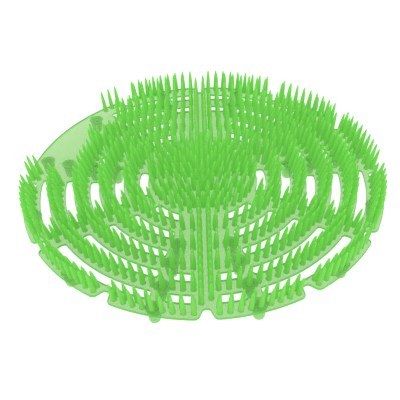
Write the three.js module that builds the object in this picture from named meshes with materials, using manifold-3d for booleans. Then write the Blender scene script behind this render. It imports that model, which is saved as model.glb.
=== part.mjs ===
// Urinal deodorizer screen: one soft moulding with ring slots, leaning bristles and hollow feet.
// Millimetres, +Z up, the feet stand on z = 0, the front notch points to -Y.
import * as THREE from 'three';
import { mergeVertices, mergeGeometries } from 'three/addons/utils/BufferGeometryUtils.js';
import Module from 'manifold-3d';

// Plate
const PLATE_RADIUS = 92;
const PLATE_THICKNESS = 1.2;

// Ring slots, counted from the rim inwards
const SLOT_COUNT = 5;
const RIM_TO_SLOT = 11;
const SLOT_PITCH = 12.65;
const SLOT_WIDTH = 4.4;
const SLOT_CORNER = 1.6;

// Webs that cross the slots, at angles from the front, the same on the left and on the right
const SPOKE_ANGLES = [0, 60, 120, 180];
const SPOKE_HALF_WIDTH = 5.5;
const WEB_ANGLES = [15, 165];
const WEB_HALF_WIDTH = 3.5;
const OUTER_SIDE_WEB_ANGLE = 96;
const OUTER_SIDE_WEB_HALF_WIDTH = 4.4;
const OUTER_SIDE_WEB_SLOTS = 3;
const INNER_SIDE_WEB_ANGLE = 111;
const INNER_SIDE_WEB_HALF_WIDTH = 3.6;

// Rim notches, one between each two sectors
const SECTOR_ANGLE = 30;
const NOTCH_DEPTH = 5.6;
const NOTCH_MOUTH = 7.2;
const NOTCH_FLOOR = 2.8;
const NOTCH_CORNER = 2;

// Plain grip tab at the back left, without bristles, slots or a notch
const TAB_START = -141;
const TAB_END = -93;
const TAB_RINGS = 2;

// Bristles: slim cones that lean away from the centre
const BRISTLE_HEIGHT = 12.3;
const BRISTLE_RADIUS = 1.25;
const BRISTLE_LEAN = 12;
const BRISTLE_SIDES = 3;
const BRISTLE_PITCH = 4.5;
const ROW_TO_EDGE = 3.1;
const ROW_SPACING = 2.85;
const ROW_END_GAP = 5.4;
const SPOKE_COLUMN_OFFSET = 2.15;
const ROOT_DEPTH = 0.5;

// Hollow feet under the plate, open below
const FOOT_HEIGHT = 7.6;
const FOOT_TOP_RADIUS = 3.4;
const FOOT_BASE_RADIUS = 2.5;
const FOOT_WALL = 1.1;
const FOOT_SIDES = 5;
const FOOT_TO_RIM = 5.2;
const FOOT_PITCH = 12.4;
const FOOT_TO_SLOT = 3.9;
const INNER_FOOT_SLOT = 2;
const OUTER_PAIR_ANGLES = [15, 105, 135, 165];
const INNER_PAIR_ANGLES = [15, 105];

// Fineness of the curves
const ARC_STEP = 7.5;
const CORNER_STEPS = 1;

const wasm = await Module();
wasm.setup();

const RAD = Math.PI / 180;
const PLATE_BOTTOM = FOOT_HEIGHT;
const PLATE_TOP = FOOT_HEIGHT + PLATE_THICKNESS;

// Angles run from the front (-Y) and are positive towards +X
function polar(radius, angle) {
  return new THREE.Vector2(radius * Math.sin(angle * RAD), -radius * Math.cos(angle * RAD));
}

function arcAngle(length, radius) {
  return length / radius / RAD;
}

function solidFrom(geometry) {
  const bare = geometry.index ? geometry.toNonIndexed() : geometry.clone();
  bare.deleteAttribute('normal');
  bare.deleteAttribute('uv');
  const merged = mergeVertices(bare, 1e-4);
  return new wasm.Manifold(new wasm.Mesh({
    numProp: 3,
    vertProperties: new Float32Array(merged.attributes.position.array),
    triVerts: new Uint32Array(merged.index.array),
  }));
}

function geometryFrom(solid) {
  const mesh = solid.getMesh();
  const geometry = new THREE.BufferGeometry();
  geometry.setAttribute('position', new THREE.BufferAttribute(mesh.vertProperties, 3));
  geometry.setIndex(new THREE.BufferAttribute(mesh.triVerts, 1));
  geometry.computeVertexNormals();
  return geometry;
}

// Points of a corner rounded off by a short curve
function roundedCorner(before, corner, after, radius) {
  const start = corner.clone().add(before.clone().sub(corner).setLength(radius));
  const end = corner.clone().add(after.clone().sub(corner).setLength(radius));
  return new THREE.QuadraticBezierCurve(start, corner, end).getPoints(CORNER_STEPS);
}

// Points strictly between two angles on a circle
function arcBetween(radius, from, to) {
  const steps = Math.max(2, Math.round(Math.abs(to - from) / ARC_STEP));
  const points = [];
  for (let i = 1; i < steps; i += 1) {
    points.push(polar(radius, from + ((to - from) * i) / steps));
  }
  return points;
}

// One notch cut into the rim, as points from its left lip to its right lip
function notchPoints(angle) {
  const side = new THREE.Vector2(Math.cos(angle * RAD), Math.sin(angle * RAD));
  const floorRadius = PLATE_RADIUS - NOTCH_DEPTH;
  const lipAngle = arcAngle(NOTCH_MOUTH / 2, PLATE_RADIUS);
  const shoulderAngle = lipAngle + arcAngle(NOTCH_CORNER, PLATE_RADIUS);
  const corners = [-1, 1].map((s) => ({
    shoulder: polar(PLATE_RADIUS, angle + s * shoulderAngle),
    lip: polar(PLATE_RADIUS, angle + s * lipAngle),
    floor: polar(floorRadius, angle).add(side.clone().multiplyScalar((s * NOTCH_FLOOR) / 2)),
  }));
  const [left, right] = corners;
  return [
    ...roundedCorner(left.shoulder, left.lip, left.floor, NOTCH_CORNER),
    left.floor,
    right.floor,
    ...roundedCorner(right.floor, right.lip, right.shoulder, NOTCH_CORNER),
  ];
}

function insideTab(angle) {
  return angle > TAB_START && angle < TAB_END;
}

// Rim of the plate: sector arcs between the notches, one long arc on the tab
function rimPoints() {
  const shoulderAngle = arcAngle(NOTCH_MOUTH / 2 + NOTCH_CORNER, PLATE_RADIUS);
  const notches = [];
  for (let angle = -180; angle < 180; angle += SECTOR_ANGLE) {
    if (!insideTab(angle)) notches.push(angle);
  }
  const points = [];
  notches.forEach((angle, i) => {
    const next = i + 1 < notches.length ? notches[i + 1] : notches[0] + 360;
    points.push(...notchPoints(angle));
    points.push(...arcBetween(PLATE_RADIUS, angle + shoulderAngle, next - shoulderAngle));
  });
  return points;
}

function slotRadius(slot) {
  return PLATE_RADIUS - RIM_TO_SLOT - slot * SLOT_PITCH;
}

// Webs across one slot, as angle and half width, all the way round
function websOf(slot) {
  const half = [
    ...SPOKE_ANGLES.map((angle) => ({ angle, width: SPOKE_HALF_WIDTH })),
    ...WEB_ANGLES.map((angle) => ({ angle, width: WEB_HALF_WIDTH })),
    slot < OUTER_SIDE_WEB_SLOTS
      ? { angle: OUTER_SIDE_WEB_ANGLE, width: OUTER_SIDE_WEB_HALF_WIDTH }
      : { angle: INNER_SIDE_WEB_ANGLE, width: INNER_SIDE_WEB_HALF_WIDTH },
  ];
  const mirrored = half.filter(({ angle }) => angle % 180 !== 0);
  return [...half, ...mirrored.map(({ angle, width }) => ({ angle: -angle, width }))];
}

// Open stretches of one slot, as pairs of angles
function slotSpans(slot) {
  const radius = slotRadius(slot);
  const closed = websOf(slot).map(({ angle, width }) => {
    const reach = arcAngle(width, radius);
    return [angle - reach, angle + reach];
  });
  closed.push([-180 - arcAngle(SPOKE_HALF_WIDTH, radius), -180 + arcAngle(SPOKE_HALF_WIDTH, radius)]);
  if (slot < TAB_RINGS) closed.push([TAB_START, TAB_END]);
  closed.sort((a, b) => a[0] - b[0]);
  const shortest = arcAngle(2 * SLOT_WIDTH, radius);
  const spans = [];
  let open = closed[0][1];
  closed.slice(1).forEach(([from, to]) => {
    if (from - open > shortest) spans.push([open, from]);
    open = Math.max(open, to);
  });
  return spans;
}

// Outline of one slot: an arc out, a rounded end, an arc back and a rounded end
function slotOutline(radius, from, to) {
  const outer = radius + SLOT_WIDTH / 2;
  const inner = radius - SLOT_WIDTH / 2;
  const outerArc = [polar(outer, from), ...arcBetween(outer, from, to), polar(outer, to)];
  const innerArc = [polar(inner, to), ...arcBetween(inner, to, from), polar(inner, from)];
  const ring = [...outerArc, ...innerArc];
  const corners = new Set([0, outerArc.length - 1, outerArc.length, ring.length - 1]);
  return ring.flatMap((point, i) => {
    if (!corners.has(i)) return [point];
    const before = ring[(i + ring.length - 1) % ring.length];
    const after = ring[(i + 1) % ring.length];
    return roundedCorner(before, point, after, SLOT_CORNER);
  });
}

function makePlate() {
  const outline = new THREE.Shape(rimPoints());
  for (let slot = 0; slot < SLOT_COUNT; slot += 1) {
    slotSpans(slot).forEach(([from, to]) => {
      outline.holes.push(new THREE.Path(slotOutline(slotRadius(slot), from, to)));
    });
  }
  const plate = new THREE.ExtrudeGeometry(outline, { depth: PLATE_THICKNESS, bevelEnabled: false });
  plate.translate(0, 0, PLATE_BOTTOM);
  return plate;
}

// Feet stand on the middle line of each sector, by the rim and by one of the slots
function footPlaces() {
  const outer = PLATE_RADIUS - FOOT_TO_RIM;
  const inner = slotRadius(INNER_FOOT_SLOT) + FOOT_TO_SLOT;
  const places = [];
  for (let angle = SECTOR_ANGLE / 2 - 180; angle < 180; angle += SECTOR_ANGLE) {
    places.push(polar(outer, angle));
    if (OUTER_PAIR_ANGLES.includes(Math.abs(angle))) {
      places.push(polar(outer - FOOT_PITCH, angle));
    }
    if (INNER_PAIR_ANGLES.includes(Math.abs(angle))) {
      places.push(polar(inner, angle), polar(inner - FOOT_PITCH, angle));
    }
  }
  return places;
}

function makeFeet() {
  const sink = PLATE_THICKNESS / 2;
  const outside = [
    new THREE.Vector2(0, 0),
    new THREE.Vector2(FOOT_BASE_RADIUS, 0),
    new THREE.Vector2(FOOT_TOP_RADIUS, PLATE_BOTTOM + sink),
    new THREE.Vector2(0, PLATE_BOTTOM + sink),
  ];
  const inside = [
    new THREE.Vector2(0, -sink),
    new THREE.Vector2(FOOT_BASE_RADIUS - FOOT_WALL, -sink),
    new THREE.Vector2(FOOT_TOP_RADIUS - FOOT_WALL, PLATE_BOTTOM),
    new THREE.Vector2(0, PLATE_BOTTOM),
  ];
  const lathe = (profile) => new THREE.LatheGeometry(profile, FOOT_SIDES).rotateX(Math.PI / 2);
  const copies = (profile) => mergeGeometries(footPlaces().map((place) => (
    lathe(profile).translate(place.x, place.y, 0)
  )));
  return { bodies: copies(outside), bores: copies(inside) };
}

// Radii of the two rows of a ring, the outer one first
function ringRows(ring) {
  const edge = ring === 0 ? PLATE_RADIUS : slotRadius(ring - 1) - SLOT_WIDTH / 2;
  return [edge - ROW_TO_EDGE, edge - ROW_TO_EDGE - ROW_SPACING];
}

function bristlePlaces() {
  const places = [];
  // Rings: evenly spread rows between two notches or two spokes, the inner row with one bristle less
  for (let ring = 0; ring < SLOT_COUNT; ring += 1) {
    const span = ring === 0 ? SECTOR_ANGLE : 2 * SECTOR_ANGLE;
    const rows = ringRows(ring);
    const steps = Math.round((span * RAD * rows[0] - 2 * ROW_END_GAP) / BRISTLE_PITCH);
    rows.forEach((radius, row) => {
      const half = span / 2 - arcAngle(ROW_END_GAP, radius);
      for (let centre = span / 2 - 180; centre < 180; centre += span) {
        for (let i = 0; i <= steps - row; i += 1) {
          const angle = centre + half * ((2 * i) / (steps - row) - 1);
          if (!(ring < TAB_RINGS && insideTab(angle))) places.push({ radius, angle });
        }
      }
    });
  }
  // Two staggered columns on each spoke, from the outer slot to the innermost one
  const spokeTop = slotRadius(0) + SLOT_WIDTH / 2;
  const spokeFoot = slotRadius(SLOT_COUNT - 1) - SLOT_WIDTH / 2;
  const along = Math.round((spokeTop - spokeFoot) / BRISTLE_PITCH);
  SPOKE_ANGLES.flatMap((angle) => (angle % 180 ? [angle, -angle] : [angle])).forEach((spoke) => {
    for (let i = 0; i < 2 * along; i += 1) {
      const radius = spokeTop - ((spokeTop - spokeFoot) * i) / (2 * along);
      if (insideTab(spoke) && radius > slotRadius(TAB_RINGS - 1) + SLOT_WIDTH / 2) continue;
      const offset = arcAngle(SPOKE_COLUMN_OFFSET, radius);
      places.push({ radius, angle: i % 2 ? spoke + offset : spoke - offset });
    }
  });
  // Solid centre: circles of bristles down to a single one
  const centreRadius = spokeFoot - ROW_TO_EDGE;
  const centreRows = Math.round(centreRadius / BRISTLE_PITCH);
  for (let i = 0; i <= centreRows; i += 1) {
    const radius = (centreRadius * i) / centreRows;
    const count = Math.max(1, Math.round((2 * Math.PI * radius) / BRISTLE_PITCH));
    for (let j = 0; j < count; j += 1) {
      places.push({ radius, angle: (360 * (j + (i % 2) / 2)) / count - 180 });
    }
  }
  return places;
}

// One bristle: a slim cone with its root in the plate and its tip moved outwards
function makeBristle({ radius, angle }) {
  const length = BRISTLE_HEIGHT + ROOT_DEPTH;
  const cone = new THREE.ConeGeometry((BRISTLE_RADIUS * length) / BRISTLE_HEIGHT, length, BRISTLE_SIDES);
  cone.rotateX(Math.PI / 2);
  cone.translate(0, 0, length / 2);
  const lean = Math.tan(BRISTLE_LEAN * RAD);
  const shear = new THREE.Matrix4().set(1, 0, 0, 0, 0, 1, -lean, 0, 0, 0, 1, 0, 0, 0, 0, 1);
  cone.applyMatrix4(shear);
  cone.rotateZ(angle * RAD);
  const place = polar(radius, angle);
  return cone.translate(place.x, place.y, PLATE_TOP - ROOT_DEPTH);
}

const feet = makeFeet();
const bristles = mergeGeometries(bristlePlaces().map(makeBristle));
const screen = solidFrom(makePlate())
  .add(solidFrom(feet.bodies))
  .subtract(solidFrom(feet.bores))
  .add(solidFrom(bristles));

const group = new THREE.Group();
const softPlastic = new THREE.MeshStandardMaterial({ color: 0x66cf44, roughness: 0.45, metalness: 0 });
const mesh = new THREE.Mesh(geometryFrom(screen), softPlastic);
mesh.name = 'urinal_screen';
group.add(mesh);

export default group;
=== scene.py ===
import math

import bmesh
import bpy
from mathutils import Matrix, Vector
from mathutils.geometry import delaunay_2d_cdt


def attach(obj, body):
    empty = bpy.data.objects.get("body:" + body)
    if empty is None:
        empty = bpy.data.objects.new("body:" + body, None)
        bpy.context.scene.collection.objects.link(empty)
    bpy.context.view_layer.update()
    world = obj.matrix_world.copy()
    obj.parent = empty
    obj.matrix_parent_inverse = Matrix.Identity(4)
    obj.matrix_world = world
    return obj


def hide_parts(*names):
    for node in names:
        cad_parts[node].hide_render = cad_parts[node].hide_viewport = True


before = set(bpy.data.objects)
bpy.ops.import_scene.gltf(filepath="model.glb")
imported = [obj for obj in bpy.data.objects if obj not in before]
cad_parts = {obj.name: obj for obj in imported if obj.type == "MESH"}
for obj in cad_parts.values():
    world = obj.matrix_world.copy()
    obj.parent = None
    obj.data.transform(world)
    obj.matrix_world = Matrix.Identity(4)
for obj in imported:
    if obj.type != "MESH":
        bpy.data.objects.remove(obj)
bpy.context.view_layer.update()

MM = 0.001

# Sizes of the moulding, in millimetres and degrees, as in the solid model
PLATE_RADIUS = 92
PLATE_THICKNESS = 1.2
SLOT_COUNT = 5
RIM_TO_SLOT = 11
SLOT_PITCH = 12.65
SLOT_WIDTH = 4.4
SLOT_CORNER = 1.6
SPOKE_ANGLES = (0, 60, 120, 180)
SPOKE_HALF_WIDTH = 5.5
WEB_ANGLES = (15, 165)
WEB_HALF_WIDTH = 3.5
OUTER_SIDE_WEB = (96, 4.4)
OUTER_SIDE_WEB_SLOTS = 3
INNER_SIDE_WEB = (111, 3.6)
SECTOR_ANGLE = 30
NOTCH_DEPTH = 5.6
NOTCH_MOUTH = 7.2
NOTCH_FLOOR = 2.8
NOTCH_CORNER = 2
NOTCH_FLOOR_CORNER = 1.12
TAB_START = -141
TAB_END = -93
TAB_RINGS = 2
BRISTLE_LEAN = 12
BRISTLE_PITCH = 4.5
ROW_TO_EDGE = 3.1
ROW_SPACING = 2.85
ROW_END_GAP = 5.4
SPOKE_COLUMN_OFFSET = 2.15
FOOT_HEIGHT = 7.6
FOOT_TOP_RADIUS = 3.4
FOOT_BASE_RADIUS = 2.5
FOOT_WALL = 1.1
FOOT_TO_RIM = 5.2
FOOT_PITCH = 12.4
FOOT_TO_SLOT = 3.9
INNER_FOOT_SLOT = 2
OUTER_PAIR_ANGLES = (15, 105, 135, 165)
INNER_PAIR_ANGLES = (15, 105)

# Closer to the photo than the solid model: a shorter, blunt bristle, and for each row
# beside the tab, outermost first, the angles between which it is bare
BRISTLE_HEIGHT = 11.95
BRISTLE_BODY_RADIUS = 1.3
BRISTLE_TIP_RADIUS = 0.45
BARE_STRETCHES = ((-140, -97), (-149, -97), (-141, -93), (-141, -93))

# Bristle outline: the flare at its root, then (share of the height, how much thinner
# than the body), then (share of the tip radius, distance below the top)
BRISTLE_FLARE = 0.15
BRISTLE_TAPER = ((0.12, 0.02), (0.35, 0.12), (0.6, 0.32), (0.82, 0.58))
BRISTLE_TIP = ((1, 0.5), (0.78, 0.15), (0.3, 0))

# Foot outline: (distance out from the wall's face, distance below the plate), then
# (distance out from the face, height over the ground) for the outside and the hollow
FOOT_FLARE = ((0.5, -0.05), (0.1, 0.4), (-0.1, 1.2))
FOOT_OUTER_END = ((0.03, 0.5), (-0.08, 0.15), (-0.3, 0))
FOOT_HOLLOW_END = ((0.3, 0), (0.06, 0.12), (0, 0.4))
FOOT_HOLLOW_INTO_PLATE = 0.05

# Fineness of the visible surface
ARC_STEP = 2
CORNER_STEPS = 5
EDGE_ROUND = 0.25
BRISTLE_SIDES = 10
FOOT_SIDES = 32
SHORTEST_EDGE = 0.01
TRIANGULATION_TOLERANCE = 1e-5
WELD_METRES = 1e-7

PLATE_BOTTOM = FOOT_HEIGHT
PLATE_TOP = FOOT_HEIGHT + PLATE_THICKNESS


# Angles run from the front (-Y) and are positive towards +X
def polar(radius, angle):
    a = math.radians(angle)
    return Vector((radius * math.sin(a), -radius * math.cos(a)))


def arc_angle(length, radius):
    return math.degrees(length / radius)


def rounded_corner(before, corner, after, radius):
    start = corner + (before - corner).normalized() * radius
    end = corner + (after - corner).normalized() * radius
    points = []
    for i in range(CORNER_STEPS + 1):
        t = i / CORNER_STEPS
        points.append(start * (1 - t) ** 2 + corner * (2 * t * (1 - t)) + end * t * t)
    return points


def arc_between(radius, first, last):
    steps = max(2, round(abs(last - first) / ARC_STEP))
    return [polar(radius, first + (last - first) * i / steps) for i in range(1, steps)]


def inside_tab(angle):
    return TAB_START < angle < TAB_END


def notch_points(angle):
    side = Vector((math.cos(math.radians(angle)), math.sin(math.radians(angle))))
    lip_angle = arc_angle(NOTCH_MOUTH / 2, PLATE_RADIUS)
    shoulder_angle = lip_angle + arc_angle(NOTCH_CORNER, PLATE_RADIUS)
    corners = []
    for s in (-1, 1):
        shoulder = polar(PLATE_RADIUS, angle + s * shoulder_angle)
        lip = polar(PLATE_RADIUS, angle + s * lip_angle)
        floor = polar(PLATE_RADIUS - NOTCH_DEPTH, angle) + side * (s * NOTCH_FLOOR / 2)
        corners.append((shoulder, lip, floor))
    left, right = corners
    return (
        rounded_corner(*left, NOTCH_CORNER)
        + rounded_corner(left[1], left[2], right[2], NOTCH_FLOOR_CORNER)
        + rounded_corner(left[2], right[2], right[1], NOTCH_FLOOR_CORNER)
        + rounded_corner(right[2], right[1], right[0], NOTCH_CORNER)
    )


def rim_points():
    shoulder = arc_angle(NOTCH_MOUTH / 2 + NOTCH_CORNER, PLATE_RADIUS)
    notches = [a for a in range(-180, 180, SECTOR_ANGLE) if not inside_tab(a)]
    points = []
    for i, angle in enumerate(notches):
        following = notches[i + 1] if i + 1 < len(notches) else notches[0] + 360
        points += notch_points(angle)
        points += arc_between(PLATE_RADIUS, angle + shoulder, following - shoulder)
    return points


def slot_radius(slot):
    return PLATE_RADIUS - RIM_TO_SLOT - slot * SLOT_PITCH


def slot_spans(slot):
    """The pairs of angles between which the ring of this slot is open."""
    radius = slot_radius(slot)
    webs = [(a, SPOKE_HALF_WIDTH) for a in SPOKE_ANGLES]
    webs += [(a, WEB_HALF_WIDTH) for a in WEB_ANGLES]
    webs.append(OUTER_SIDE_WEB if slot < OUTER_SIDE_WEB_SLOTS else INNER_SIDE_WEB)
    webs += [(-a, w) for a, w in webs if a]
    closed = [(a - arc_angle(w, radius), a + arc_angle(w, radius)) for a, w in webs]
    if slot < TAB_RINGS:
        closed.append((TAB_START, TAB_END))
    closed.sort()
    shortest = arc_angle(2 * SLOT_WIDTH, radius)
    spans = []
    reached = closed[0][1]
    for low, high in closed[1:]:
        if low - reached > shortest:
            spans.append((reached, low))
        reached = max(reached, high)
    return spans


def slot_outline(radius, first, last):
    outer = radius + SLOT_WIDTH / 2
    inner = radius - SLOT_WIDTH / 2
    there = [polar(outer, first)] + arc_between(outer, first, last) + [polar(outer, last)]
    back = [polar(inner, last)] + arc_between(inner, last, first) + [polar(inner, first)]
    ring = there + back
    corners = {0, len(there) - 1, len(there), len(ring) - 1}
    points = []
    for i, point in enumerate(ring):
        if i in corners:
            before = ring[i - 1]
            after = ring[(i + 1) % len(ring)]
            points += rounded_corner(before, point, after, SLOT_CORNER)
        else:
            points.append(point)
    return points


def foot_places():
    outer = PLATE_RADIUS - FOOT_TO_RIM
    inner = slot_radius(INNER_FOOT_SLOT) + FOOT_TO_SLOT
    places = []
    for k in range(360 // SECTOR_ANGLE):
        angle = SECTOR_ANGLE / 2 - 180 + k * SECTOR_ANGLE
        places.append(polar(outer, angle))
        if abs(angle) in OUTER_PAIR_ANGLES:
            places.append(polar(outer - FOOT_PITCH, angle))
        if abs(angle) in INNER_PAIR_ANGLES:
            places += [polar(inner, angle), polar(inner - FOOT_PITCH, angle)]
    return places


def on_bare_plate(ring, row, angle):
    if ring >= TAB_RINGS:
        return False
    first, last = BARE_STRETCHES[2 * ring + row]
    return first < angle < last


def ring_bristles(ring):
    """Two rows between notches or spokes, the inner one with one bristle less."""
    edge = slot_radius(ring - 1) - SLOT_WIDTH / 2 if ring else PLATE_RADIUS
    span = 2 * SECTOR_ANGLE if ring else SECTOR_ANGLE
    rows = (edge - ROW_TO_EDGE, edge - ROW_TO_EDGE - ROW_SPACING)
    steps = round((math.radians(span) * rows[0] - 2 * ROW_END_GAP) / BRISTLE_PITCH)
    places = []
    for row, radius in enumerate(rows):
        half = span / 2 - arc_angle(ROW_END_GAP, radius)
        for k in range(360 // span):
            centre = span / 2 - 180 + k * span
            for i in range(steps - row + 1):
                angle = centre + half * (2 * i / (steps - row) - 1)
                if not on_bare_plate(ring, row, angle):
                    places.append((radius, angle))
    return places


def spoke_bristles(spoke, top, foot):
    """Two staggered columns from the outermost slot in to the centre."""
    steps = 2 * round((top - foot) / BRISTLE_PITCH)
    places = []
    for i in range(steps):
        radius = top - (top - foot) * i / steps
        if inside_tab(spoke) and radius > slot_radius(TAB_RINGS - 1) + SLOT_WIDTH / 2:
            continue
        offset = arc_angle(SPOKE_COLUMN_OFFSET, radius)
        places.append((radius, spoke + offset if i % 2 else spoke - offset))
    return places


def centre_bristles(outer_radius):
    """Circles of bristles down to a single one in the middle."""
    circles = round(outer_radius / BRISTLE_PITCH)
    places = []
    for i in range(circles + 1):
        radius = outer_radius * i / circles
        count = max(1, round(2 * math.pi * radius / BRISTLE_PITCH))
        for j in range(count):
            places.append((radius, 360 * (j + (i % 2) / 2) / count - 180))
    return places


def bristle_places():
    places = []
    for ring in range(SLOT_COUNT):
        places += ring_bristles(ring)
    top = slot_radius(0) + SLOT_WIDTH / 2
    foot = slot_radius(SLOT_COUNT - 1) - SLOT_WIDTH / 2
    mirrored = [-a for a in SPOKE_ANGLES if 0 < a < 180]
    for spoke in [*SPOKE_ANGLES, *mirrored]:
        places += spoke_bristles(spoke, top, foot)
    return places + centre_bristles(foot - ROW_TO_EDGE)


def add_object(name, data):
    obj = bpy.data.objects.new(name, data)
    bpy.context.scene.collection.objects.link(obj)
    return obj


def finished_object(name, bm):
    bmesh.ops.recalc_face_normals(bm, faces=bm.faces)
    mesh = bpy.data.meshes.new(name)
    bm.to_mesh(mesh)
    bm.free()
    return add_object(name, mesh)


def shifted(points, distance):
    """The loop moved sideways, to the left of its own direction."""
    moved = []
    for i, point in enumerate(points):
        along = (points[(i + 1) % len(points)] - points[i - 1]).normalized()
        moved.append(point + Vector((-along.y, along.x)) * distance)
    return moved


def inside(point, loop):
    hit = False
    for a, b in zip(loop, loop[1:] + loop[:1]):
        if (a.y > point.y) != (b.y > point.y):
            crossing = a.x + (point.y - a.y) * (b.x - a.x) / (b.y - a.y)
            if point.x < crossing:
                hit = not hit
    return hit


def tidy_loop(points):
    """Drop points that fall on one another, and run anticlockwise."""
    loop = [p for i, p in enumerate(points) if (p - points[i - 1]).length > SHORTEST_EDGE]
    area = sum(a.x * b.y - b.x * a.y for a, b in zip(loop, loop[1:] + loop[:1]))
    return loop if area > 0 else loop[::-1]


def plate_triangles(loops):
    """Points and triangles that fill the first loop and leave the others open."""
    flat, owner, edges = [], [], []
    for i, loop in enumerate(loops):
        first = len(flat)
        edges += [(first + j, first + (j + 1) % len(loop)) for j in range(len(loop))]
        flat += loop
        owner += [i] * len(loop)
    made = delaunay_2d_cdt(flat, edges, [], 0, TRIANGULATION_TOLERANCE)
    points, triangles, origins = made[0], made[2], made[3]
    source = [owner[origin[0]] for origin in origins]
    kept = []
    for face in triangles:
        owners = {source[v] for v in face}
        if len(owners) == 1:
            loop = owners.pop()
            middle = sum((points[v] for v in face), Vector((0, 0))) / len(face)
            if inside(middle, loops[loop]) != (loop == 0):
                continue
        kept.append(list(face))
    return points, kept


def edge_levels(loop, way):
    """The rounded edge from the top face to the bottom face, as loops at their heights."""
    bend = EDGE_ROUND * (1 - math.sqrt(0.5))
    inset = shifted(loop, way * EDGE_ROUND)
    halfway = shifted(loop, way * bend)
    return [
        (inset, PLATE_TOP),
        (halfway, PLATE_TOP - bend),
        (loop, PLATE_TOP - EDGE_ROUND),
        (loop, PLATE_BOTTOM + EDGE_ROUND),
        (halfway, PLATE_BOTTOM + bend),
        (inset, PLATE_BOTTOM),
    ]


def make_plate():
    """Flat faces take the first material and edges the second."""
    loops = [tidy_loop(rim_points())]
    for slot in range(SLOT_COUNT):
        radius = slot_radius(slot)
        loops += [tidy_loop(slot_outline(radius, *span)) for span in slot_spans(slot)]
    edges = [edge_levels(loop, 1 if i == 0 else -1) for i, loop in enumerate(loops)]
    points, kept = plate_triangles([levels[0][0] for levels in edges])
    count = len(points)
    verts = [(p.x, p.y, z) for z in (PLATE_TOP, PLATE_BOTTOM) for p in points]
    faces = kept + [[v + count for v in reversed(face)] for face in kept]
    flat_faces = len(faces)
    for i, levels in enumerate(edges):
        first = len(verts)
        size = len(levels[0][0])
        for ring, z in levels:
            verts += [(p.x, p.y, z) for p in ring]
        for level in range(len(levels) - 1):
            for j in range(size):
                a = first + level * size + j
                b = first + level * size + (j + 1) % size
                faces.append([a, a + size, b + size, b] if i == 0 else [b, b + size, a + size, a])
    mesh = bpy.data.meshes.new("screen_plate")
    mesh.from_pydata([(x * MM, y * MM, z * MM) for x, y, z in verts], [], faces)
    bm = bmesh.new()
    bm.from_mesh(mesh)
    for i, face in enumerate(bm.faces):
        face.material_index = 0 if i < flat_faces else 1
        face.smooth = i >= flat_faces
    bmesh.ops.remove_doubles(bm, verts=bm.verts, dist=WELD_METRES)
    bmesh.ops.recalc_face_normals(bm, faces=bm.faces)
    bm.to_mesh(mesh)
    bm.free()
    return add_object("screen_plate", mesh)


def bridge(bm, low, high):
    for i in range(len(low)):
        j = (i + 1) % len(low)
        bm.faces.new((low[i], low[j], high[j], high[i])).smooth = True


def add_lathe(bm, profile, place, sides, drift=Vector((0, 0))):
    """Rings round a place, moved sideways by drift for each millimetre over the plate."""
    rings = []
    for radius, z in profile:
        middle = place + drift * (z - PLATE_TOP)
        ring = []
        for i in range(sides):
            a = 2 * math.pi * i / sides
            x = middle.x + radius * math.cos(a)
            y = middle.y + radius * math.sin(a)
            ring.append(bm.verts.new((x * MM, y * MM, z * MM)))
        rings.append(ring)
    for low, high in zip(rings, rings[1:]):
        bridge(bm, low, high)
    return rings


def make_feet():
    hollow_base = FOOT_BASE_RADIUS - FOOT_WALL
    hollow_top = FOOT_TOP_RADIUS - FOOT_WALL
    profile = [(FOOT_TOP_RADIUS + out, PLATE_BOTTOM - down) for out, down in FOOT_FLARE]
    profile += [(FOOT_BASE_RADIUS + out, z) for out, z in FOOT_OUTER_END]
    profile += [(hollow_base + out, z) for out, z in FOOT_HOLLOW_END]
    profile.append((hollow_top, PLATE_BOTTOM + FOOT_HOLLOW_INTO_PLATE))
    bm = bmesh.new()
    for place in foot_places():
        rings = add_lathe(bm, profile, place, FOOT_SIDES)
        for i in range(FOOT_SIDES):
            j = (i + 1) % FOOT_SIDES
            bm.faces.new((rings[-1][i], rings[-1][j], rings[0][j], rings[0][i]))
    return finished_object("screen_feet", bm)


def make_bristles():
    lean = math.tan(math.radians(BRISTLE_LEAN))
    body = BRISTLE_BODY_RADIUS
    top = PLATE_TOP + BRISTLE_HEIGHT
    profile = [(body + BRISTLE_FLARE, PLATE_TOP - BRISTLE_FLARE)]
    profile.append((body, PLATE_TOP + BRISTLE_FLARE))
    profile += [(body - thinner, PLATE_TOP + BRISTLE_HEIGHT * share) for share, thinner in BRISTLE_TAPER]
    profile += [(BRISTLE_TIP_RADIUS * share, top - down) for share, down in BRISTLE_TIP]
    bm = bmesh.new()
    for radius, angle in bristle_places():
        rings = add_lathe(bm, profile, polar(radius, angle), BRISTLE_SIDES, polar(lean, angle))
        bm.faces.new(rings[-1]).smooth = True
        bm.faces.new(reversed(rings[0]))
    return finished_object("screen_bristles", bm)


# Materials: one soft translucent plastic, in linear colours, with lengths in metres
GREEN = (0.175, 0.52, 0.088)
PALE_GREEN = (0.32, 0.475, 0.255)
EDGE_GREEN = (0.16, 0.52, 0.1)
FOOT_GREEN = (0.25, 0.5, 0.18)
ROUGHNESS = 0.6
REFRACTION = 1.48
SHINE = 0.2
SUBSURFACE_SHARE = 0.35
SUBSURFACE_REACH = 0.0025
SUBSURFACE_RADIUS = (0.6, 1.0, 0.35)
CLOUD_SCALE = 45
CLOUD_DETAIL = 3
CLOUD_RANGE = (0.3, 0.75)
CLOUD_SHADES = (0.93, 1.06)
GRAIN_SCALE = 900
GRAIN_STRENGTH = 0.06
GRAIN_DEPTH = 0.0002


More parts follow.
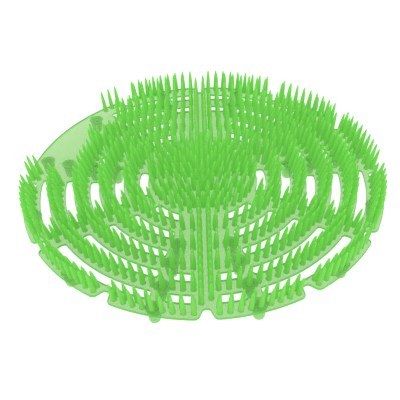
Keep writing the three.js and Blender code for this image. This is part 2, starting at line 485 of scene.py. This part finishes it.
def soft_plastic(name, colour, clear, clear_colour, glow, painted_light):
    """Soft plastic: a satin body that gives off painted light of its own (the last argument), an
    even glow in its own colour that lifts its shade, a share (glow) that lets light through
    diffusely, and a share (clear) that is see-through."""
    mat = bpy.data.materials.new(name)
    mat.use_nodes = True
    nodes = mat.node_tree.nodes
    links = mat.node_tree.links
    nodes.clear()
    out = nodes.new("ShaderNodeOutputMaterial")
    body = nodes.new("ShaderNodeBsdfPrincipled")
    body.inputs["Roughness"].default_value = ROUGHNESS
    body.inputs["IOR"].default_value = REFRACTION
    body.inputs["Subsurface Weight"].default_value = SUBSURFACE_SHARE
    body.inputs["Subsurface Radius"].default_value = SUBSURFACE_RADIUS
    body.inputs["Subsurface Scale"].default_value = SUBSURFACE_REACH
    body.inputs["Specular IOR Level"].default_value = SHINE
    # Painted light: the body glows in its own colour, a lift that stands in for light from its
    # surroundings and fills its shade
    body.inputs["Emission Color"].default_value = (*colour, 1)
    body.inputs["Emission Strength"].default_value = painted_light
    coords = nodes.new("ShaderNodeTexCoord")
    clouds = nodes.new("ShaderNodeTexNoise")
    clouds.inputs["Scale"].default_value = CLOUD_SCALE
    clouds.inputs["Detail"].default_value = CLOUD_DETAIL
    ramp = nodes.new("ShaderNodeValToRGB")
    for stop, position, shade in zip(ramp.color_ramp.elements, CLOUD_RANGE, CLOUD_SHADES):
        stop.position = position
        stop.color = [min(1, c * shade) for c in colour] + [1]
    links.new(coords.outputs["Object"], clouds.inputs["Vector"])
    links.new(clouds.outputs["Fac"], ramp.inputs["Fac"])
    links.new(ramp.outputs["Color"], body.inputs["Base Color"])
    grain = nodes.new("ShaderNodeTexNoise")
    grain.inputs["Scale"].default_value = GRAIN_SCALE
    bump = nodes.new("ShaderNodeBump")
    bump.inputs["Strength"].default_value = GRAIN_STRENGTH
    bump.inputs["Distance"].default_value = GRAIN_DEPTH
    links.new(coords.outputs["Object"], grain.inputs["Vector"])
    links.new(grain.outputs["Fac"], bump.inputs["Height"])
    links.new(bump.outputs["Normal"], body.inputs["Normal"])
    through = nodes.new("ShaderNodeBsdfTranslucent")
    links.new(ramp.outputs["Color"], through.inputs["Color"])
    lit = nodes.new("ShaderNodeMixShader")
    lit.inputs["Fac"].default_value = glow
    links.new(body.outputs["BSDF"], lit.inputs[1])
    links.new(through.outputs["BSDF"], lit.inputs[2])
    glass = nodes.new("ShaderNodeBsdfTransparent")
    glass.inputs["Color"].default_value = (*clear_colour, 1)
    mix = nodes.new("ShaderNodeMixShader")
    mix.inputs["Fac"].default_value = clear
    links.new(lit.outputs["Shader"], mix.inputs[1])
    links.new(glass.outputs["BSDF"], mix.inputs[2])
    links.new(mix.outputs["Shader"], out.inputs["Surface"])
    return mat


plate = make_plate()
# Painted light: both plate materials glow a little, which lifts the shade the bristles cast on the plate
plate.data.materials.append(
    soft_plastic(
        "eva_plate", PALE_GREEN, clear=0.75, clear_colour=(0.69, 0.87, 0.61), glow=0.5, painted_light=0.25
    )
)
plate.data.materials.append(
    soft_plastic(
        "eva_plate_edge", EDGE_GREEN, clear=0.1, clear_colour=(0.5, 0.85, 0.4), glow=0.4, painted_light=0.2
    )
)
feet = make_feet()
# Painted light: the feet glow strongly, which lifts the shade under the plate where they stand
feet.data.materials.append(
    soft_plastic(
        "eva_feet", FOOT_GREEN, clear=0.35, clear_colour=(0.75, 0.95, 0.65), glow=0.5, painted_light=0.9
    )
)
bristles = make_bristles()
# Painted light: the bristles glow, which evens out the shade deep in the dense field between them
bristles.data.materials.append(
    soft_plastic(
        "eva_bristles", GREEN, clear=0.08, clear_colour=(0.6, 0.92, 0.5), glow=0.4, painted_light=0.65
    )
)

for piece in (plate, feet, bristles):
    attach(piece, "root")
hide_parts("urinal_screen")

# Camera, in millimetres and degrees: the photo's distance, height and tilt, with the aim
# a little in front of the centre
CAMERA_DISTANCE = 350.3
CAMERA_ELEVATION = 38.87
CAMERA_AIM = (-1.57, -15.9)
CAMERA_ROLL = -2.1
FOCAL_PIXELS = 675.2
FRAME_PIXELS = 400
SENSOR_WIDTH = 36
NEAREST_METRES = 0.01


def make_camera():
    data = bpy.data.cameras.new("camera")
    data.sensor_width = SENSOR_WIDTH
    data.lens = SENSOR_WIDTH * FOCAL_PIXELS / FRAME_PIXELS
    data.clip_start = NEAREST_METRES
    elevation = math.radians(CAMERA_ELEVATION)
    back = -CAMERA_DISTANCE * math.cos(elevation)
    height = CAMERA_DISTANCE * math.sin(elevation) + PLATE_TOP
    eye = Vector((0, back, height)) * MM
    aim = Vector((*CAMERA_AIM, PLATE_TOP)) * MM
    forward = (aim - eye).normalized()
    right = forward.cross(Vector((0, 0, 1))).normalized()
    up = right.cross(forward)
    roll = math.radians(CAMERA_ROLL)
    x_axis = right * math.cos(roll) + up * math.sin(roll)
    y_axis = up * math.cos(roll) - right * math.sin(roll)
    turn = Matrix((x_axis, y_axis, -forward)).transposed().to_4x4()
    camera = add_object("camera", data)
    camera.matrix_world = Matrix.Translation(eye) @ turn
    bpy.context.scene.camera = camera


make_camera()

# Studio, in metres: a plain white floor that gives off light, a white world, two soft lights
FLOOR_HALF = 3
FLOOR_GREY = 0.2
FLOOR_ROUGHNESS = 0.9
FLOOR_LIGHT = 0.95
WORLD_LIGHT = 1.3


def make_floor():
    h = FLOOR_HALF
    mesh = bpy.data.meshes.new("floor")
    mesh.from_pydata([(-h, -h, 0), (h, -h, 0), (h, h, 0), (-h, h, 0)], [], [(0, 1, 2, 3)])
    mat = bpy.data.materials.new("floor_white")
    mat.use_nodes = True
    inputs = mat.node_tree.nodes["Principled BSDF"].inputs
    inputs["Base Color"].default_value = (FLOOR_GREY, FLOOR_GREY, FLOOR_GREY, 1)
    inputs["Roughness"].default_value = FLOOR_ROUGHNESS
    inputs["Emission Color"].default_value = (1, 1, 1, 1)
    inputs["Emission Strength"].default_value = FLOOR_LIGHT
    mesh.materials.append(mat)
    return add_object("floor", mesh)


def area_light(name, place, size, power):
    data = bpy.data.lights.new(name, "AREA")
    data.shape = "DISK"
    data.size = size
    data.energy = power
    light = add_object(name, data)
    light.location = place
    light.rotation_euler = (-Vector(place)).to_track_quat("-Z", "Y").to_euler()


floor = make_floor()

world = bpy.data.worlds.new("studio")
world.use_nodes = True
world.node_tree.nodes["Background"].inputs["Color"].default_value = (1, 1, 1, 1)
world.node_tree.nodes["Background"].inputs["Strength"].default_value = WORLD_LIGHT
bpy.context.scene.world = world
bpy.context.scene.view_settings.view_transform = "Standard"

area_light("top_light", place=(0.15, 0.1, 0.9), size=0.9, power=2)
area_light("front_light", place=(-0.4, -0.8, 0.5), size=0.5, power=0.8)
